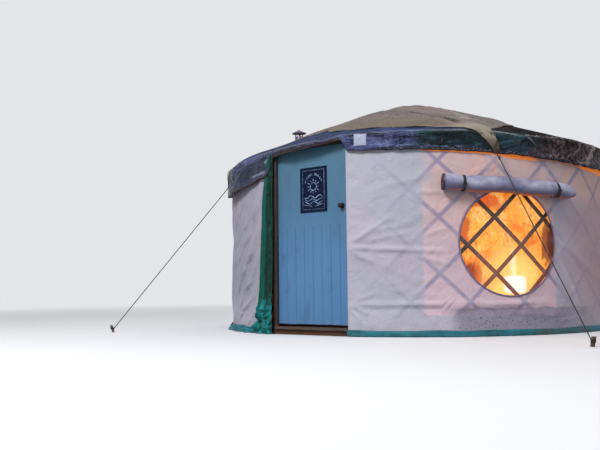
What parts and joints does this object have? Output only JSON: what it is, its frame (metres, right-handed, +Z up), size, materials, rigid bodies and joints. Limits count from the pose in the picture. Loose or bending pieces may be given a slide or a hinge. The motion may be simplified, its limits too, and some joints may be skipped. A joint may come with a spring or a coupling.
{
  "type": "yurt",
  "caption": "Round canvas yurt with a trellis wall, hinged plank door, round window, rolled flap, flue and tarpaulin roof held by guy ropes.",
  "frame": {"origin": "on the yurt's axis, at the level of the ground it stands on", "axes": "+Z up, the door faces -Y, +X to the right of someone who looks at the door"},
  "size_m": [5.3616, 5.3616, 2.5783],
  "materials": {
    "wall_canvas": "matt off-white canvas, stained near the ground",
    "hem_cloth": "satin turquoise groundsheet cloth",
    "lath_wood": "dark oiled laths",
    "pole_wood": "oiled ash poles",
    "crown_wood": "oiled ash",
    "tarpaulin": "shiny dark green and blue tarpaulin",
    "green_tarpaulin": "shiny deep green tarpaulin",
    "cover_canvas": "matt olive grey canvas, weathered",
    "rope": "dark braided rope",
    "peg_wood": "rough ash stake",
    "window_film": "clear flexible film",
    "roll_canvas": "silver grey proofed cloth",
    "strap_webbing": "black webbing",
    "flue_steel": "dull smoked steel",
    "door_paint": "eggshell blue paint on boards",
    "ledge_paint": "eggshell blue paint",
    "sign_panel": "matt dark blue",
    "dark_iron": "black iron",
    "frame_wood": "dark stained softwood",
    "grey_plank": "weathered grey plank",
    "red_board": "red-brown stained board",
    "floor_wood": "planed softwood boards"
  },
  "bodies": {
    "shell": {"crown_cover": "cover_canvas", "crown_ring": "crown_wood", "crown_spokes": "crown_wood", "door_head": "frame_wood", "door_jamb_left": "frame_wood", "door_jamb_right": "frame_wood", "door_poles": "pole_wood", "flap_straps": "strap_webbing", "floor_bearers": "floor_wood", "floor_boards": "floor_wood", "flue_cowl": "flue_steel", "flue_flashing": "flue_steel", "flue_pipe": "flue_steel", "guy_pegs": "peg_wood", "guy_ropes": "rope", "hinge_pins": "dark_iron", "lattice_section_1": "lath_wood", "lattice_section_2": "lath_wood", "lattice_section_3": "lath_wood", "lattice_section_4": "lath_wood", "lattice_section_5": "lath_wood", "lattice_section_6": "lath_wood", "roof_cover": "tarpaulin", "roof_poles": "pole_wood", "roof_valance": "tarpaulin", "side_strip": "green_tarpaulin", "threshold_board": "red_board", "threshold_plank": "grey_plank", "wall_front_left": "wall_canvas", "wall_front_right": "wall_canvas", "wall_hem": "hem_cloth", "wall_left": "wall_canvas", "wall_rear": "wall_canvas", "wall_rear_left": "wall_canvas", "wall_rear_right": "wall_canvas", "wall_right": "wall_canvas", "wall_side_left": "wall_canvas", "wall_window_side": "wall_canvas", "window_flap_roll": "roll_canvas", "window_pane": "window_film"},
    "door": {"door_leaf": "door_paint", "door_ledges": "ledge_paint", "door_sign": "sign_panel", "door_knobs": "dark_iron", "hinge_straps": "dark_iron"}
  },
  "joints": [
    {"name": "door_hinge", "type": "hinge", "parent": "shell", "child": "door", "pos_m": [-0.435, -1.97413, 0.94], "axis": [0, 0, 1], "range_deg": [0, 110]}
  ]
}
